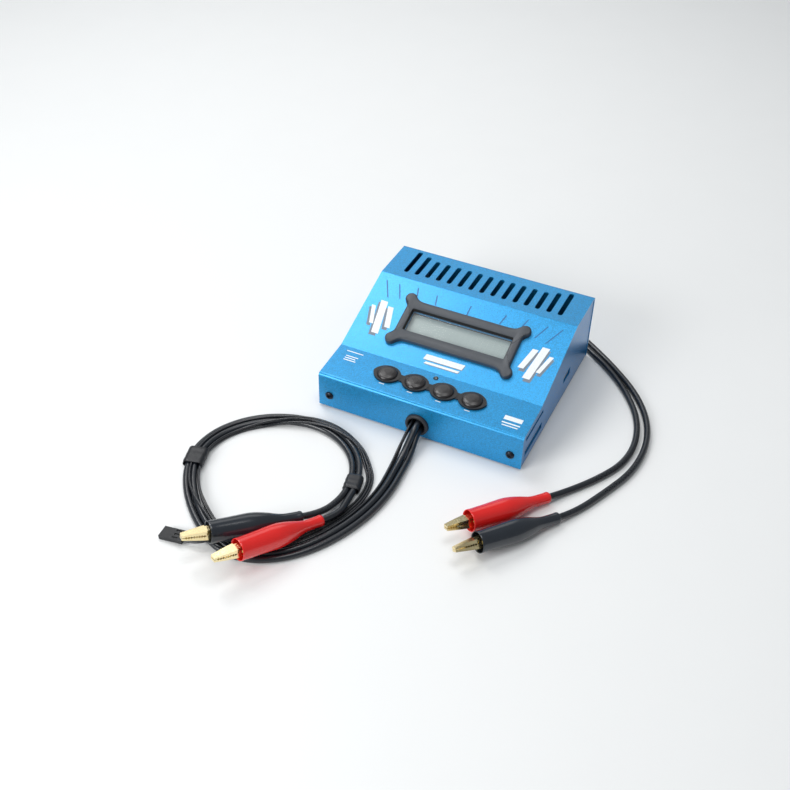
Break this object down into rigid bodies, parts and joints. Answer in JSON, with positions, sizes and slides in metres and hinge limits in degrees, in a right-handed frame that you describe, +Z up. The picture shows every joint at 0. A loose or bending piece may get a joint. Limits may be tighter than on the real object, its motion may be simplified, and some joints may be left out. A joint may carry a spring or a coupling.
{
  "type": "balance battery charger",
  "caption": "Desk charger for model batteries: folded metal case with sloping display, push keys, deck vents, side sockets, and leads ending in crocodile clips.",
  "frame": {"origin": "centre of the case footprint at the surface the feet stand on", "axes": "+X to the right of the keypad side, -Y out of the front with the keypad, +Z up"},
  "size_m": [0.2371, 0.2896, 0.0461],
  "materials": {
    "cover_paint": "light blue metallic paint on folded sheet",
    "tray_paint": "darker blue metallic paint on folded sheet",
    "black_screw": "black domed screws",
    "black_rubber": "soft black rubber",
    "key_plastic": "moulded black keys",
    "bezel_plastic": "moulded dark frame",
    "clear_lens": "clear display cover",
    "display_glass": "grey-green display glass",
    "plated_steel": "nickel-plated stamped steel",
    "gold_plate": "gold-plated stamped sheet",
    "board_green": "lacquered circuit board",
    "chip_black": "moulded component bodies",
    "lamp_plastic": "clear moulded lamp",
    "sink_metal": "extruded heat sink",
    "socket_plastic": "white moulded sockets",
    "fuse_plastic": "fuse body",
    "choke_wire": "copper-wound chokes",
    "can_sleeve": "sleeved capacitor cans",
    "black_silicone": "black silicone covering",
    "grey_wire": "thin wire covering",
    "red_boot": "red soft boot",
    "black_boot": "black soft boot"
  },
  "bodies": {
    "charger": {"balance_pins": "plated_steel", "balance_socket": "socket_plastic", "base_tray": "tray_paint", "board_screws": "plated_steel", "board_spacers": "chip_black", "board_standoffs": "plated_steel", "buzzer": "chip_black", "capacitors": "can_sleeve", "clip_pins": "gold_plate", "clip_springs": "plated_steel", "control_chips": "chip_black", "cover_screws": "black_screw", "display_ribbon": "grey_wire", "fuse": "fuse_plastic", "heat_sink": "sink_metal", "input_black_boot": "black_boot", "input_black_lower_jaw": "gold_plate", "input_grommet": "black_rubber", "input_lead_minus": "black_silicone", "input_lead_plus": "black_silicone", "input_red_boot": "red_boot", "input_red_lower_jaw": "gold_plate", "key_board": "board_green", "keypad_surround": "black_rubber", "lcd_bezel": "bezel_plastic", "lcd_board": "board_green", "lcd_glass": "display_glass", "lcd_metal_frame": "plated_steel", "lcd_screws": "black_screw", "lcd_window": "clear_lens", "lead_sleeves": "black_silicone", "lead_terminals": "socket_plastic", "main_board": "board_green", "output_black_boot": "black_boot", "output_black_lower_jaw": "gold_plate", "output_grommet": "black_rubber", "output_lead_minus": "black_silicone", "output_lead_plus": "black_silicone", "output_red_boot": "red_boot", "output_red_lower_jaw": "gold_plate", "power_chokes": "choke_wire", "power_transistors": "chip_black", "rubber_feet": "black_rubber", "sensor_connector": "chip_black", "sensor_socket": "socket_plastic", "sensor_wire_1": "grey_wire", "sensor_wire_2": "grey_wire", "sensor_wire_3": "grey_wire", "status_led": "lamp_plastic", "tact_switches": "chip_black", "top_cover": "cover_paint"},
    "button_1": {"button_1": "key_plastic"},
    "button_2": {"button_2": "key_plastic"},
    "button_3": {"button_3": "key_plastic"},
    "button_4": {"button_4": "key_plastic"},
    "output_red_jaw": {"output_red_upper_jaw": "gold_plate"},
    "output_black_jaw": {"output_black_upper_jaw": "gold_plate"},
    "input_red_jaw": {"input_red_upper_jaw": "gold_plate"},
    "input_black_jaw": {"input_black_upper_jaw": "gold_plate"}
  },
  "joints": [
    {"name": "press_button_1", "type": "slide", "parent": "charger", "child": "button_1", "axis": [0, 0.0583, -0.9983], "range_m": [0, 0.0008], "stiffness_N_per_m": 400, "springref_m": -0.001},
    {"name": "press_button_2", "type": "slide", "parent": "charger", "child": "button_2", "axis": [0, 0.0583, -0.9983], "range_m": [0, 0.0008], "stiffness_N_per_m": 400, "springref_m": -0.001},
    {"name": "press_button_3", "type": "slide", "parent": "charger", "child": "button_3", "axis": [0, 0.0583, -0.9983], "range_m": [0, 0.0008], "stiffness_N_per_m": 400, "springref_m": -0.001},
    {"name": "press_button_4", "type": "slide", "parent": "charger", "child": "button_4", "axis": [0, 0.0583, -0.9983], "range_m": [0, 0.0008], "stiffness_N_per_m": 400, "springref_m": -0.001},
    {"name": "open_output_red_clip", "type": "hinge", "parent": "charger", "child": "output_red_jaw", "pos_m": [-0.03711, -0.19196, 0.01505], "axis": [-0.891, 0.4488, -0.0685], "range_deg": [0, 16], "stiffness_Nm_per_rad": 0.05, "springref_deg": -34.38},
    {"name": "open_output_black_clip", "type": "hinge", "parent": "charger", "child": "output_black_jaw", "pos_m": [-0.05649, -0.18871, 0.01505], "axis": [-0.781, 0.6094, -0.1366], "range_deg": [0, 16], "stiffness_Nm_per_rad": 0.05, "springref_deg": -34.38},
    {"name": "open_input_red_clip", "type": "hinge", "parent": "charger", "child": "input_red_jaw", "pos_m": [0.05871, -0.11555, 0.00947], "axis": [-0.7974, 0.5378, -0.2736], "range_deg": [0, 16], "stiffness_Nm_per_rad": 0.05, "springref_deg": -34.38},
    {"name": "open_input_black_clip", "type": "hinge", "parent": "charger", "child": "input_black_jaw", "pos_m": [0.06871, -0.12785, 0.00947], "axis": [-0.7108, 0.4322, -0.555], "range_deg": [0, 16], "stiffness_Nm_per_rad": 0.05, "springref_deg": -34.38}
  ]
}
